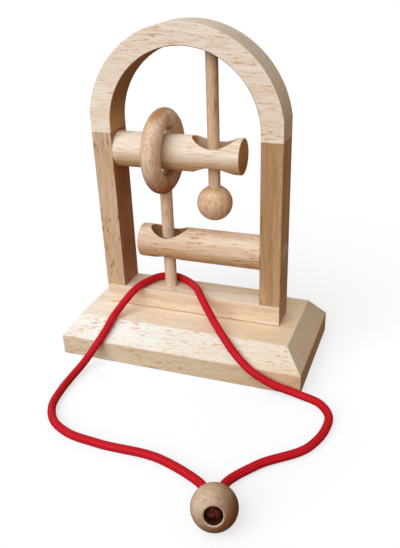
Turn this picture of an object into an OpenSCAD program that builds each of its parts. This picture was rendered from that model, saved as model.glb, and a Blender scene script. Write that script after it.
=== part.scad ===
// Wooden disentanglement puzzle: an arched frame on a bevelled base, two round
// crossbars, a ball hung from the arch, a ring standing round the upper
// crossbar, and a beaded cord loop laid round the standing rod.
// X runs along the frame, Y away from the viewer and Z up. The origin is the
// middle of the base's underside.

/* [Base] */
// Length of the base block
base_l = 150; // [130:0.5:180]
// Depth of the base block, front to back
base_w = 75; // [62:0.5:100]
// Height of the base block
base_h = 25.2; // [20:0.1:32]
// Height of the upright side below the bevel
base_side_h = 12.8; // [8:0.1:16]
// Run of the bevel on the two short sides
bevel_run_x = 10.2; // [4:0.1:14]
// Run of the bevel on the two long sides
bevel_run_y = 9.2; // [4:0.1:12]

/* [Frame] */
// Width over the two uprights
frame_l = 110.4; // [104:0.1:116]
// Depth of the foot rail, the uprights and the arch
frame_d = 19.1; // [17.5:0.1:24]
// Distance of the frame's middle behind the base's middle
frame_set_back = 0.6; // [0:0.1:3]
// Height of the foot rail
rail_h = 12.5; // [11:0.1:18]
// Width of each upright
upright_w = 12.2; // [10:0.1:14]
// Length of each upright, from the rail to the arch
upright_h = 95.6; // [90:0.1:110]
// Outer radius of the arch
arch_r = 55.8; // [55.6:0.1:60]
// Height of the outer curve's centre above the joint
arch_rise = 2.1; // [0:0.1:6]
// Height of the inner curve's centre above the joint
opening_rise = 3.4; // [0:0.1:6]

/* [Crossbars] */
// Diameter of both crossbars
bar_d = 20; // [18:0.1:22]
// Distance of the upper crossbar's axis below the joint with the arch
upper_bar_drop = 11.1; // [10.5:0.1:15]
// Distance between the axes of the two crossbars
bar_spacing = 55.4; // [52:0.1:60]
// Gap between the upper crossbar's free end and the right upright
upper_gap = 12; // [8:0.1:14]
// Gap between the lower crossbar's free end and the left upright
lower_gap = 10.5; // [7:0.1:14]
// Diameter of the round tenon that passes through the upright
tenon_d = 15; // [10:0.1:17]

/* [Holes in the crossbars] */
// Length of the upper crossbar's oval hole
upper_hole_l = 26; // [20:0.1:28]
// Width of the upper crossbar's oval hole
upper_hole_w = 17; // [14:0.1:17.4]
// Length of the lower crossbar's oval hole at its top
lower_hole_l = 23; // [18:0.1:26]
// Width of the lower crossbar's oval hole at its top
lower_hole_w = 16.8; // [14:0.1:17.4]
// Length of the lower crossbar's oval hole at its underside
lower_exit_l = 20; // [17:0.1:23]
// Width of the lower crossbar's oval hole at its underside
lower_exit_w = 14.6; // [13:0.1:16.8]
// Distance of each hole's middle to the right of its rod
hole_shift = 1.1; // [0:0.1:2]

/* [Rods, ball and ring] */
// Diameter of the hanging rod
hanging_rod_d = 6.7; // [6:0.1:8]
// Diameter of the standing rod
standing_rod_d = 7.2; // [6:0.1:8]
// Place of the hanging rod to the right of the middle
hanging_x = 14; // [10:0.1:18]
// Place of the standing rod to the left of the middle
standing_x = 15.9; // [10:0.1:19]
// Depth of the hanging rod's socket above the arch's inner curve
arch_socket = 7; // [4:0.1:8]
// Depth of the standing rod's socket in the foot rail
rail_socket = 9; // [5:0.1:10]
// Distance of the ball's middle below the upper crossbar's axis
ball_drop = 27.6; // [24:0.1:32]
// Diameter of the hanging ball
ball_d = 20.2; // [18:0.1:22]
// Depth of the rod's socket in the ball
ball_socket = 11; // [6:0.1:14]
// Diameter of the ring's centre line
ring_d = 36.9; // [36:0.1:40]
// Thickness of the ring's round section
ring_t = 11; // [9:0.1:12.5]
// Depth of the standing rod's socket in the ring
ring_socket = 5; // [3:0.1:8]

/* [Cord loop and bead] */
// Diameter of the braided cord
cord_d = 4.6; // [4.2:0.1:4.7]
// Diameter of the bead
bead_d = 21; // [20:0.1:22]
// Diameter of the bead's front bore, which holds the knot
bead_bore_d = 8.4; // [8.2:0.1:10]
// Diameter of the bead's rear bore, which the cord enters
bead_rear_d = 7.2; // [7:0.1:7.4]
// Length of the pulled-up knot in the front bore
knot_l = 5.2; // [4:0.1:7]
// Play between the knot or the cord and the bead's bores
bead_play = 0.3; // [0.2:0.05:0.4]

/* [Joints] */
// Diameter of the hidden dowels between the uprights and the arch
dowel_d = 6; // [5:0.1:8]
// Length of the hidden dowels
dowel_l = 30; // [24:0.5:34]
// Spare depth at each end of a dowel
dowel_spare = 1; // [0.5:0.1:2]
// Glue line round dowels, tenons and rods
glue = 0.05; // [0.03:0.01:0.1]
// Diameter of the screws through the base
screw_d = 4.5; // [4:0.1:5]
// Length of the screws through the base
screw_l = 52; // [46:0.5:54]
// Diameter of the screw head
screw_head_d = 9; // [8:0.1:10]
// Depth of the screw head below the base's underside
screw_sink = 2; // [1:0.1:4]
// Play round the screws in the base and the rail
screw_play = 0.25; // [0.1:0.05:0.5]

/* [Hidden] */
$fn = 96;

// Heights and places that follow from the sizes above
rail_top = base_h + rail_h;
joint_z = rail_top + upright_h;
upper_z = joint_z - upper_bar_drop;
lower_z = upper_z - bar_spacing;
half_l = frame_l / 2;
inner_x = half_l - upright_w;
frame_y = frame_set_back;
upright_x = half_l - upright_w / 2;
ball_z = upper_z - ball_drop;
ring_z = upper_z;
opening_z = joint_z + opening_rise;
hanging_top = opening_z + sqrt(inner_x * inner_x - hanging_x * hanging_x) + arch_socket;
hanging_end = ball_z + ball_d / 2 - ball_socket;
standing_end = rail_top - rail_socket;
standing_top = ring_z - ring_d / 2 - ring_t / 2 + ring_socket;
over = 1;
oval_points = 64;

// Screw: head cone with a cross recess, plain shank, threaded core and point
screw_head_h = (screw_head_d - screw_d) / 2;
screw_recess_l = screw_head_d - 3.6;
screw_recess_w = 1;
screw_recess_h = 1.6;
screw_core_d = screw_d - 1.3;
screw_tip_h = 4;
screw_tip_d = 0.4;
thread_pitch = 2;
thread_rise = 0.6;
thread_fall = 0.4;
pilot_spare = 1;
screw_shank_l = rail_top - screw_sink - thread_pitch;
screw_tip_z = screw_l - screw_tip_h;

// Bead: it lies on the table in front of the base, its bore turned towards
// the viewer. The knot sits against a step half-way along the bore.
bead_r = bead_d / 2;
bead_at = [60, -139.5, bead_r];
bore_rise = 22.5;
bore_turn = 16.5;
bore_way = [
    cos(bore_rise) * sin(bore_turn),
    -cos(bore_rise) * cos(bore_turn),
    sin(bore_rise)
];
left_way = [-cos(bore_turn), -sin(bore_turn), 0];
bore_step = 0.5;
mouth_bevel = 0.5;
mouth_clear = 1.5;
rear_r = bead_rear_d / 2;
front_mouth = sqrt(bead_r ^ 2 - (bead_bore_d / 2) ^ 2);
rear_mouth = sqrt(bead_r ^ 2 - rear_r ^ 2);
knot_r = bead_bore_d / 2 - bead_play;
knot_from = bore_step + bead_play;

// The two strands of the cord are squeezed side by side in the rear bore
strand_gap = 0.4;
strand_r = (rear_r - bead_play) / 2 - strand_gap / 4;
strand_side = strand_r + strand_gap / 2;

// A point in the bead: w along the bore towards the viewer, s to the left
function bead_point(w, s) = bead_at + w * bore_way + s * left_way;

// Height of the cord's middle above whatever it lies on
lie = cord_d / 2 + 0.1;

// Route of the cord's middle line, from the bead along the left side, round
// behind the standing rod, over the rail and base and back along the right
cord_route = [
    bead_point(knot_from, strand_side),
    bead_point(-4, strand_side),
    bead_point(-rear_mouth - mouth_clear, strand_side),
    [51.5, -125.5, 4],
    [46, -120.5, 2.8],
    [36, -115.5, lie],
    [22, -111, lie],
    [-14, -110, lie],
    [-32, -107.5, lie],
    [-43.5, -101.5, lie],
    [-51.5, -90.5, lie],
    [-54.5, -76, lie],
    [-55, -62.5, 2.8],
    [-53.5, -51.5, 5],
    [-49, -41, 13],
    [-45, -35, 20.5],
    [-42, -30.5, 27],
    [-40.5, -25, 30],
    [-32.5, -11, 40],
    [-30, -3.5, rail_top + lie + 0.1],
    [-25.5, 4.5, rail_top + lie + 0.1],
    [-17, 8, rail_top + lie + 0.1],
    [-6.5, 4, rail_top + lie + 0.1],
    [4, -6, rail_top + lie + 0.3],
    [8, -12, 40],
    [21.5, -25, 30.5],
    [28, -31, 26.8],
    [37, -36, 19.5],
    [46.5, -40, 13.5],
    [59, -41, 7.5],
    [75.5, -40.5, 3],
    [87, -44, lie],
    [93.5, -52.5, lie],
    [94, -65, lie],
    [89, -80, lie],
    [68, -100.5, lie + 0.1],
    [57.5, -117.5, 3],
    bead_point(-rear_mouth - mouth_clear, -strand_side),
    bead_point(-4, -strand_side),
    bead_point(knot_from, -strand_side)
];
cord_sides = 10;
cord_step = 13;

function unit(v) = v / norm(v);

// The way of the curve at a point of the route: between the ways of the two
// spans that meet there, and closer to that of the shorter one
function way_at(i) =
    let (
        last = len(cord_route) - 1,
        before = cord_route[max(i, 1)] - cord_route[max(i, 1) - 1],
        after = cord_route[min(i, last - 1) + 1] - cord_route[min(i, last - 1)]
    )
    (unit(before) * norm(after) + unit(after) * norm(before)) / (norm(before) + norm(after));

// A smooth curve through the route's points: the point at share t of span i
function on_span(i, t) =
    let (
        a = cord_route[i],
        b = cord_route[i + 1],
        leave = norm(b - a) * way_at(i),
        arrive = norm(b - a) * way_at(i + 1)
    )
    a + leave * t + (3 * (b - a) - 2 * leave - arrive) * t ^ 2
        + (2 * (a - b) + leave + arrive) * t ^ 3;

// The middles of the tube's rings, with more of them in the long spans
cord_rings = [
    for (i = [0:len(cord_route) - 2])
        let (parts = ceil(norm(cord_route[i + 1] - cord_route[i]) / cord_step))
        for (k = [0:parts - 1]) on_span(i, k / parts),
    cord_route[len(cord_route) - 1]
];

// The cord's radius at a point: full, but squeezed where the strands meet
function cord_r_at(p) =
    let (v = p - bead_at, w = v * bore_way, side = norm(v - w * bore_way))
    min(cord_d / 2, max(strand_r, side - strand_gap / 2));

// The corners of one ring of the tube
function ring_corners(i) =
    let (
        last = len(cord_rings) - 1,
        along = unit(cord_rings[min(i + 1, last)] - cord_rings[max(i - 1, 0)]),
        across = unit(cross(along, [0, 0, 1])),
        up = cross(across, along),
        r = cord_r_at(cord_rings[i])
    )
    [for (k = [0:cord_sides - 1]) cord_rings[i]
        + r * cos(k * 360 / cord_sides) * across
        + r * sin(k * 360 / cord_sides) * up];

// Hole for the dowel that joins an upright to the arch
module dowel_socket(side) {
    translate([side * upright_x, frame_y, joint_z])
        cylinder(h = dowel_l + 2 * dowel_spare, d = dowel_d + 2 * glue, center = true);
}

module upright_post(side) {
    bar_z = side < 0 ? upper_z : lower_z;
    color("burlywood")
    difference() {
        translate([side * upright_x - upright_w / 2, frame_y - frame_d / 2, rail_top])
            cube([upright_w, frame_d, upright_h]);
        // Hole for the crossbar's tenon
        translate([side * upright_x, frame_y, bar_z])
            rotate([0, 90, 0])
            cylinder(h = upright_w + 2 * over, d = tenon_d + 2 * glue, center = true);
        dowel_socket(side);
        // Pilot hole for the screw at the bottom
        translate([side * upright_x, frame_y, rail_top - over])
            cylinder(
                h = screw_sink + screw_l - rail_top + over + pilot_spare,
                d = screw_d + 2 * glue
            );
    }
}

// Round crossbar from one upright, side is the upright that holds it
module crossbar(side, z, gap) {
    length = 2 * inner_x - gap;
    translate([side * inner_x, frame_y, z])
        rotate([0, -side * 90, 0])
        cylinder(h = length, d = bar_d);
    translate([side * half_l, frame_y, z])
        rotate([0, -side * 90, 0])
        cylinder(h = upright_w + over, d = tenon_d);
}

// Upright oval hole that narrows from its top size to its bottom size
module oval_hole(top_l, top_w, low_l, low_w) {
    reach = bar_d / 2 + over;
    turn = 360 / oval_points;
    translate([0, 0, reach])
        mirror([0, 0, 1])
        linear_extrude(height = 2 * reach, scale = [low_l / top_l, low_w / top_w], slices = 1)
        polygon([
            for (i = [0:oval_points - 1])
                [top_l / 2 * cos(i * turn), top_w / 2 * sin(i * turn)]
        ]);
}

module base_plate() {
    color("wheat")
    difference() {
        intersection() {
            rotate([90, 0, 0])
                linear_extrude(height = base_w, center = true)
                polygon([
                    [-base_l / 2, 0],
                    [base_l / 2, 0],
                    [base_l / 2, base_side_h],
                    [base_l / 2 - bevel_run_x, base_h],
                    [-base_l / 2 + bevel_run_x, base_h],
                    [-base_l / 2, base_side_h]
                ]);
            rotate([90, 0, 90])
                linear_extrude(height = base_l, center = true)
                polygon([
                    [-base_w / 2, 0],
                    [base_w / 2, 0],
                    [base_w / 2, base_side_h],
                    [base_w / 2 - bevel_run_y, base_h],
                    [-base_w / 2 + bevel_run_y, base_h],
                    [-base_w / 2, base_side_h]
                ]);
        }
        for (side = [-1, 1])
            translate([side * upright_x, frame_y, 0]) {
                // Clearance hole, countersink and sunk bore for the head
                translate([0, 0, -over])
                    cylinder(h = base_h + 2 * over, d = screw_d + 2 * screw_play);
                translate([0, 0, screw_sink])
                    cylinder(
                        h = screw_head_h + screw_play,
                        d1 = screw_head_d + 2 * screw_play,
                        d2 = screw_d
                    );
                translate([0, 0, -over])
                    cylinder(h = screw_sink + over, d = screw_head_d + 2 * screw_play);
            }
    }
}

module foot_rail() {
    color("wheat")
    difference() {
        translate([-half_l, frame_y - frame_d / 2, base_h])
            cube([frame_l, frame_d, rail_h]);
        for (side = [-1, 1])
            translate([side * upright_x, frame_y, base_h - over])
                cylinder(h = rail_h + 2 * over, d = screw_d + 2 * screw_play);
        translate([-standing_x, frame_y, standing_end])
            cylinder(h = rail_socket + over, d = standing_rod_d + 2 * glue);
    }
}

module left_upright() {
    upright_post(-1);
}

module right_upright() {
    upright_post(1);
}

module arch() {
    color("bisque")
    difference() {
        translate([0, frame_y + frame_d / 2, 0])
            rotate([90, 0, 0])
            linear_extrude(height = frame_d)
            difference() {
                intersection() {
                    translate([0, joint_z + arch_rise])
                        circle(r = arch_r);
                    translate([-half_l, joint_z])
                        square([frame_l, 2 * arch_r]);
                }
                translate([0, opening_z])
                    circle(r = inner_x);
                translate([-inner_x, joint_z - over])
                    square([2 * inner_x, opening_rise + over]);
            }
        for (side = [-1, 1])
            dowel_socket(side);
        translate([hanging_x, frame_y, ball_z])
            cylinder(h = hanging_top - ball_z + glue, d = hanging_rod_d + 2 * glue);
    }
}

module upper_crossbar() {
    color("antiquewhite")
    difference() {
        crossbar(-1, upper_z, upper_gap);
        // The arch's dowel pins this tenon, which lies close under the joint
        dowel_socket(-1);
        translate([hanging_x + hole_shift, frame_y, upper_z])
            oval_hole(upper_hole_l, upper_hole_w, upper_hole_l, upper_hole_w);
    }
}

module lower_crossbar() {
    color("burlywood")
    difference() {
        crossbar(1, lower_z, lower_gap);
        translate([-standing_x + hole_shift, frame_y, lower_z])
            oval_hole(lower_hole_l, lower_hole_w, lower_exit_l, lower_exit_w);
    }
}

module hanging_rod() {
    color("tan")
    translate([hanging_x, frame_y, hanging_end])
        cylinder(h = hanging_top - hanging_end, d = hanging_rod_d);
}

module hanging_ball() {
    color("tan")
    difference() {
        translate([hanging_x, frame_y, ball_z])
            sphere(d = ball_d);
        translate([hanging_x, frame_y, hanging_end])
            cylinder(h = ball_d, d = hanging_rod_d + 2 * glue);
    }
}

module standing_rod() {
    color("tan")
    translate([-standing_x, frame_y, standing_end])
        cylinder(h = standing_top - standing_end, d = standing_rod_d);
}

module ring() {
    color("tan")
    difference() {
        translate([-standing_x, frame_y, ring_z])
            rotate([0, 90, 0])
            rotate_extrude()
            translate([ring_d / 2, 0])
            circle(d = ring_t);
        translate([-standing_x, frame_y, standing_top - 2 * ring_socket])
            cylinder(h = 2 * ring_socket, d = standing_rod_d + 2 * glue);
    }
}

module arch_dowels() {
    color("tan")
    for (side = [-1, 1])
        translate([side * upright_x, frame_y, joint_z - dowel_l / 2])
            cylinder(h = dowel_l, d = dowel_d);
}

module base_screws() {
    color("silver")
    for (side = [-1, 1])
        translate([side * upright_x, frame_y, screw_sink])
            difference() {
                union() {
                    cylinder(h = screw_head_h, d1 = screw_head_d, d2 = screw_d);
                    cylinder(h = screw_shank_l, d = screw_d);
                    cylinder(h = screw_tip_z, d = screw_core_d);
                    translate([0, 0, screw_tip_z])
                        cylinder(h = screw_tip_h, d1 = screw_core_d, d2 = screw_tip_d);
                    // Thread, as plain ridges
                    for (z = [screw_shank_l + thread_pitch:thread_pitch:screw_tip_z - over])
                        translate([0, 0, z]) {
                            cylinder(h = thread_rise, d1 = screw_core_d, d2 = screw_d);
                            translate([0, 0, thread_rise])
                                cylinder(h = thread_fall, d1 = screw_d, d2 = screw_core_d);
                        }
                }
                // Cross recess
                for (turn = [0, 90])
                    rotate([0, 0, turn])
                        translate([-screw_recess_l / 2, -screw_recess_w / 2, -over])
                        cube([screw_recess_l, screw_recess_w, over + screw_recess_h]);
            }
}

module cord_loop() {
    rings = len(cord_rings);
    n = cord_sides;
    color("crimson")
    polyhedron(
        points = [for (i = [0:rings - 1]) each ring_corners(i)],
        faces = [
            [for (k = [0:n - 1]) k],
            [for (k = [n - 1:-1:0]) (rings - 1) * n + k],
            for (i = [0:rings - 2], k = [0:n - 1])
                let (a = i * n + k, b = i * n + (k + 1) % n)
                each [[a, a + n, b], [b, a + n, b + n]]
        ]
    );
}

// Turns the Z axis onto the bead's bore, with the origin at its middle
module in_bead() {
    translate(bead_at)
        rotate([90 - bore_rise, 0, bore_turn])
        children();
}

module cord_knot() {
    bulge = knot_l / 4;
    color("firebrick")
    in_bead()
    translate([0, 0, knot_from])
    union() {
        cylinder(h = knot_l - bulge, r = knot_r - bulge);
        for (z = [bulge, knot_l - bulge])
            translate([0, 0, z])
            rotate_extrude()
            union() {
                square_to = knot_r - bulge;
                translate([square_to, 0])
                    intersection() {
                        circle(r = bulge, $fn = 48);
                        translate([0, -bulge])
                            square([bulge, 2 * bulge]);
                    }
                translate([0, -bulge])
                    square([square_to, 2 * bulge]);
            }
    }
}

module loop_bead() {
    color("tan")
    in_bead()
    difference() {
        sphere(d = bead_d);
        translate([0, 0, bore_step])
            cylinder(h = bead_r, d = bead_bore_d);
        translate([0, 0, -bead_r])
            cylinder(h = 2 * bead_r, r = rear_r);
        // Bevelled mouths
        translate([0, 0, front_mouth - mouth_bevel])
            cylinder(
                h = 2 * mouth_bevel,
                d1 = bead_bore_d,
                d2 = bead_bore_d + 4 * mouth_bevel
            );
        translate([0, 0, -rear_mouth - mouth_bevel])
            cylinder(
                h = 2 * mouth_bevel,
                r1 = rear_r + 2 * mouth_bevel,
                r2 = rear_r
            );
    }
}

base_plate();
foot_rail();
left_upright();
right_upright();
arch();
upper_crossbar();
lower_crossbar();
hanging_rod();
hanging_ball();
standing_rod();
ring();
arch_dowels();
base_screws();
cord_loop();
cord_knot();
loop_bead();
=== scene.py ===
"""Looks of the wooden disentanglement puzzle: sanded rubberwood and a red braided cord."""
import math

import bmesh
import bpy
import numpy as np
from mathutils import Matrix, Vector


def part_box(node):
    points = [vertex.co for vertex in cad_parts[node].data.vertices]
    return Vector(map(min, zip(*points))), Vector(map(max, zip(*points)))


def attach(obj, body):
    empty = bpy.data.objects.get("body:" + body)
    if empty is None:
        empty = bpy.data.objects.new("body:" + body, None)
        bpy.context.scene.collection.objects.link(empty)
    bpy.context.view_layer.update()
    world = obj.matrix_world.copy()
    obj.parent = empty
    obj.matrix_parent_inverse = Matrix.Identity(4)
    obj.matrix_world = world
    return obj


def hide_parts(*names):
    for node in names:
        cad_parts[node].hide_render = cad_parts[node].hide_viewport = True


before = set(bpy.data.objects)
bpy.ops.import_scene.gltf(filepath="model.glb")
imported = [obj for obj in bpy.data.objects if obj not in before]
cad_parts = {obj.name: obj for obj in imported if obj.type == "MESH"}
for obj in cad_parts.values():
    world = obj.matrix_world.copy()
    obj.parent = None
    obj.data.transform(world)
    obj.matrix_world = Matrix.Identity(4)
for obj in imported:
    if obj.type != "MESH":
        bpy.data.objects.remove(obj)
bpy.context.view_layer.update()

MM = 0.001


def span(node):
    """A CAD node's lowest and highest corner, in millimetres."""
    low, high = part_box(node)
    return Vector(low) / MM, Vector(high) / MM


# Places and sizes in millimetres, worked out from the frame
BASE_LOW, BASE_HIGH = span("base_plate")
RAIL_LOW, RAIL_HIGH = span("foot_rail")
FRAME_Y, HALF_L = (RAIL_LOW.y + RAIL_HIGH.y) / 2, RAIL_HIGH.x
POST_LOW, POST_HIGH = span("right_upright")
INNER_X, RAIL_TOP, JOINT_Z = POST_LOW.x, POST_LOW.z, POST_HIGH.z
UPRIGHT_X = (INNER_X + HALF_L) / 2
LOWER_LOW, LOWER_HIGH = span("lower_crossbar")
BAR_R = (LOWER_HIGH.z - LOWER_LOW.z) / 2
UPPER_Z, LOWER_Z = span("upper_crossbar")[1].z - BAR_R, LOWER_HIGH.z - BAR_R
# The holes for their rods cut the ball's top and the ring's foot
BALL_LOW, BALL_HIGH = span("hanging_ball")
BALL_AT, BALL_R = (BALL_LOW + BALL_HIGH) / 2, (BALL_HIGH.x - BALL_LOW.x) / 2
BALL_AT.z = BALL_LOW.z + BALL_R
RING_LOW, RING_HIGH = span("ring")
RING_AT, RING_THICK_R = (RING_LOW + RING_HIGH) / 2, (RING_HIGH.x - RING_LOW.x) / 2
RING_R = (RING_HIGH.y - RING_LOW.y) / 2 - RING_THICK_R
RING_AT.z = RING_HIGH.z - RING_R - RING_THICK_R
BEAD_LOW, BEAD_HIGH = span("loop_bead")
BEAD_AT, BEAD_R = (BEAD_LOW + BEAD_HIGH) / 2, (BEAD_HIGH.x - BEAD_LOW.x) / 2

# Shapes that a box can't tell, as in the part's source
BASE_SIDE_H, BEVEL_X, BEVEL_Y = 12.8, 10.2, 9.2
ARCH_R, OPENING_Z = 55.8, JOINT_Z + 3.4
ARCH_Z = span("arch")[1].z - ARCH_R
TENON_R, HOLE_SHIFT = 7.5, 1.1
# An oval hole: its rod, its height, and its length and width above and below
UPPER_HOLE = ("hanging_rod", UPPER_Z, 26, 17, 26, 17)
LOWER_HOLE = ("standing_rod", LOWER_Z, 23, 16.8, 20, 14.6)
DOWEL_R, DOWEL_DEEP = 3, 16
HEAD_R, HEAD_H, SHAFT_R = 4.75, 2, 2.5
PILOT_R, PILOT_DEEP = 2.25, 17.3
STANDING_ROD_DEEP = 9

# A glued joint's gap, how far a cutter sticks out, and the eased edges
GLUE, OVER = 0.05, 1
PAST_FRAME = 20
EASED, JOINT_EASED, SEAM_EASED, TURNED_EASED, ROD_EASED = 0.4, 0.1, 0.5, 0.45, 0.5
BASE_EASED, SOCKET_EASED = 0.45, 0.15
# Points this close are merged after a cut, and edges lie this far beside an oval hole
CROWDED, BESIDE = 0.08, 0.8
FLOOR_GAP = 0.1

# How many sides make a hole, a wide hole, a rod, a bar and a curved board round
HOLE_SIDES, WIDE_SIDES, ROD_SIDES, BAR_SIDES, BOARD_SIDES = 48, 96, 64, 160, 256

# The bead's bore, which points up towards the viewer
BORE_RISE, BORE_TURN = math.radians(22.5), math.radians(16.5)
BORE_WAY = Vector((
    math.cos(BORE_RISE) * math.sin(BORE_TURN),
    -math.cos(BORE_RISE) * math.cos(BORE_TURN),
    math.sin(BORE_RISE),
))
LEFT_WAY = Vector((-math.cos(BORE_TURN), -math.sin(BORE_TURN), 0))
FRONT_BORE_R, REAR_BORE_R, BORE_STEP = 4.2, 3.6, 0.5
MOUTH_ROUND, MOUTH_SIDES, BALL_SIDES = 0.75, 6, 64
REAR_MOUTH = math.sqrt(BEAD_R ** 2 - REAR_BORE_R ** 2)
KNOT_FROM, KNOT_L, KNOT_R = 0.8, 5.2, 3.9
STRAND_R, STRAND_SIDE, STRAND_GAP = 1.55, 1.75, 0.4
CORD_R = 2.3
# The braid's relief, its 8 strands each way and their width
RELIEF, STRANDS, STRAND_W = 0.10, 8, 1.8
# The step along a cord's line, and a pick's length, in which a strand crosses one other
CORD_STEP, CORD_PICK, KNOT_PICK = 0.3, 1.6, 1.15
KNOT_CORD_R = 1.35
LIE = CORD_R + 0.1
ON_RAIL = RAIL_TOP + LIE + 0.1


def bead_point(along, left):
    """A point in the bead: along its bore and to the left of it."""
    return tuple(BEAD_AT + along * BORE_WAY + left * LEFT_WAY)


# The cord's middle line, with the same points as in the part's source: from
# the knot along the left, round behind the standing rod and back on the right
CORD_ROUTE = [
    bead_point(KNOT_FROM, STRAND_SIDE), bead_point(-4, STRAND_SIDE),
    bead_point(-REAR_MOUTH - 1.5, STRAND_SIDE),
    (51.5, -125.5, 4), (46, -120.5, 2.8), (36, -115.5, LIE), (22, -111, LIE), (-14, -110, LIE),
    (-32, -107.5, LIE), (-43.5, -101.5, LIE), (-51.5, -90.5, LIE), (-54.5, -76, LIE),
    (-55, -62.5, 2.8), (-53.5, -51.5, 5), (-49, -41, 13), (-45, -35, 20.5), (-42, -30.5, 27),
    (-40.5, -25, 30), (-32.5, -11, 40), (-30, -3.5, ON_RAIL), (-25.5, 4.5, ON_RAIL),
    (-17, 8, ON_RAIL), (-6.5, 4, ON_RAIL), (4, -6, ON_RAIL + 0.2), (8, -12, 40),
    (21.5, -25, 30.5), (28, -31, 26.8), (37, -36, 19.5), (46.5, -40, 13.5), (59, -41, 7.5),
    (75.5, -40.5, 3), (87, -44, LIE), (93.5, -52.5, LIE), (94, -65, LIE), (89, -80, LIE),
    (68, -100.5, LIE + 0.1), (57.5, -117.5, 3),
    bead_point(-REAR_MOUTH - 1.5, -STRAND_SIDE),
    bead_point(-4, -STRAND_SIDE), bead_point(KNOT_FROM, -STRAND_SIDE),
]


# Camera, floor and light

# The photograph's size, focal length and optical centre in pixels, the sensor and the viewpoint
PHOTO_W, PHOTO_H = 400, 548
FOCAL_LENGTH = 658.43
CENTRE_X, CENTRE_Y = 203.12, 291.37
SENSOR = 36
EYE = Vector((131.89, -333.54, 224.23))


def place_camera():
    """The photograph's viewpoint, worked out from the outlines of base and frame."""
    pitch, yaw, roll = math.radians(27.75), math.radians(20.80), math.radians(-1.95)
    ahead = Vector((
        -math.sin(yaw) * math.cos(pitch),
        math.cos(yaw) * math.cos(pitch),
        -math.sin(pitch),
    ))
    level = Vector((math.cos(yaw), math.sin(yaw), 0))
    upright = level.cross(ahead)
    right = math.cos(roll) * level + math.sin(roll) * upright
    up = -math.sin(roll) * level + math.cos(roll) * upright
    data = bpy.data.cameras.new("photo_camera")
    data.sensor_width = SENSOR
    data.lens = FOCAL_LENGTH * SENSOR / PHOTO_H
    data.shift_x = (PHOTO_W / 2 - CENTRE_X) / PHOTO_H
    data.shift_y = (CENTRE_Y - PHOTO_H / 2) / PHOTO_H
    data.clip_start = 0.01
    data.clip_end = 50
    camera = bpy.data.objects.new("photo_camera", data)
    turn = Matrix((right, up, -ahead)).transposed().to_4x4()
    camera.matrix_world = Matrix.Translation(EYE * MM) @ turn
    bpy.context.collection.objects.link(camera)
    bpy.context.scene.camera = camera


def add_sun(name, toward, strength, angle, colour):
    """A soft sun that shines from the direction given by toward."""
    data = bpy.data.lights.new(name, "SUN")
    data.energy = strength
    data.angle = math.radians(angle)
    data.color = colour
    lamp = bpy.data.objects.new(name, data)
    lamp.rotation_euler = Vector(toward).to_track_quat("Z", "Y").to_euler()
    bpy.context.collection.objects.link(lamp)


def light_the_stage():
    """A broad key light from the front left, and weak, warm light in the shade."""
    world = bpy.data.worlds.new("studio")
    bpy.context.scene.world = world
    world.use_nodes = True
    tree = world.node_tree
    tree.nodes.clear()
    path = add(tree, "LightPath")
    seen = add(tree, "Background", {"Color": WHITE, "Strength": 1.0})
    lighting = add(tree, "Background", {"Color": (1.0, 0.80, 0.62, 1), "Strength": 0.31})
    by_camera = path.outputs["Is Camera Ray"]
    mix = add(tree, "MixShader", {0: by_camera, 1: lighting.outputs[0], 2: seen.outputs[0]})
    add(tree, "OutputWorld", {"Surface": mix.outputs[0]})
    add_sun("key", (-0.22, -0.75, 0.68), 2.85, 70, (0.95, 1.0, 1.08))
    add_sun("back", (-0.60, 0.75, 0.35), 0.7, 60, (1.0, 0.95, 0.9))
    add_sun("right", (0.95, -0.05, 0.30), 0.22, 60, (1.0, 0.97, 0.9))


def lay_floor():
    """A plain pale floor just under the puzzle, which throws only a little warm light back.

    From below it can't be seen, and it is open under the base, so that the
    underside shows and has light too.
    """
    reach, low, margin = 8, -FLOOR_GAP * MM, 0.5
    open_l, open_w = (BASE_HIGH.x - margin) * MM, (BASE_HIGH.y - margin) * MM
    bpy.ops.mesh.primitive_plane_add(size=2 * reach, location=(0, 0, low))
    floor = bpy.context.active_object
    floor.name = "floor"
    bpy.ops.object.mode_set(mode="EDIT")
    bpy.ops.mesh.select_all(action="SELECT")
    bpy.ops.mesh.inset(thickness=reach - open_w)
    bpy.ops.transform.resize(value=(open_l / open_w, 1, 1), center_override=(0, 0, low))
    bpy.ops.mesh.delete(type="FACE")
    bpy.ops.object.mode_set(mode="OBJECT")
    material, tree = new_material("pale_floor")
    by_camera = add(tree, "LightPath").outputs["Is Camera Ray"]
    glow = add(tree, "Emission", {"Color": WHITE, "Strength": 0.62})
    pale = add(tree, "BsdfDiffuse", {"Color": (0.40, 0.42, 0.44, 1)})
    seen = add(tree, "AddShader", {0: glow.outputs[0], 1: pale.outputs[0]})
    dim = add(tree, "BsdfDiffuse", {"Color": (0.18, 0.09, 0.04, 1)})
    mix = add(tree, "MixShader", {0: by_camera, 1: dim.outputs[0], 2: seen.outputs[0]})
    below = add(tree, "NewGeometry").outputs["Backfacing"]
    through = add(tree, "BsdfTransparent")
    floor_look = add(tree, "MixShader", {0: below, 1: mix.outputs[0], 2: through.outputs[0]})
    add(tree, "OutputMaterial", {"Surface": floor_look.outputs[0]})
    floor.data.materials.append(material)


# Shader nodes

WHITE = (1, 1, 1, 1)


def add(tree, kind, inputs=None, **settings):
    """Adds a shader node. Inputs are values, or sockets to link from."""
    made = tree.nodes.new("ShaderNode" + kind)
    for key, value in settings.items():
        setattr(made, key, value)
    for key, value in (inputs or {}).items():
        if isinstance(value, bpy.types.NodeSocket):
            tree.links.new(value, made.inputs[key])
        else:
            made.inputs[key].default_value = value
    return made


def new_material(name):
    """A material without shader nodes, and its node tree."""
    material = bpy.data.materials.new(name)
    material.use_nodes = True
    material.node_tree.nodes.clear()
    return material, material.node_tree


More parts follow.
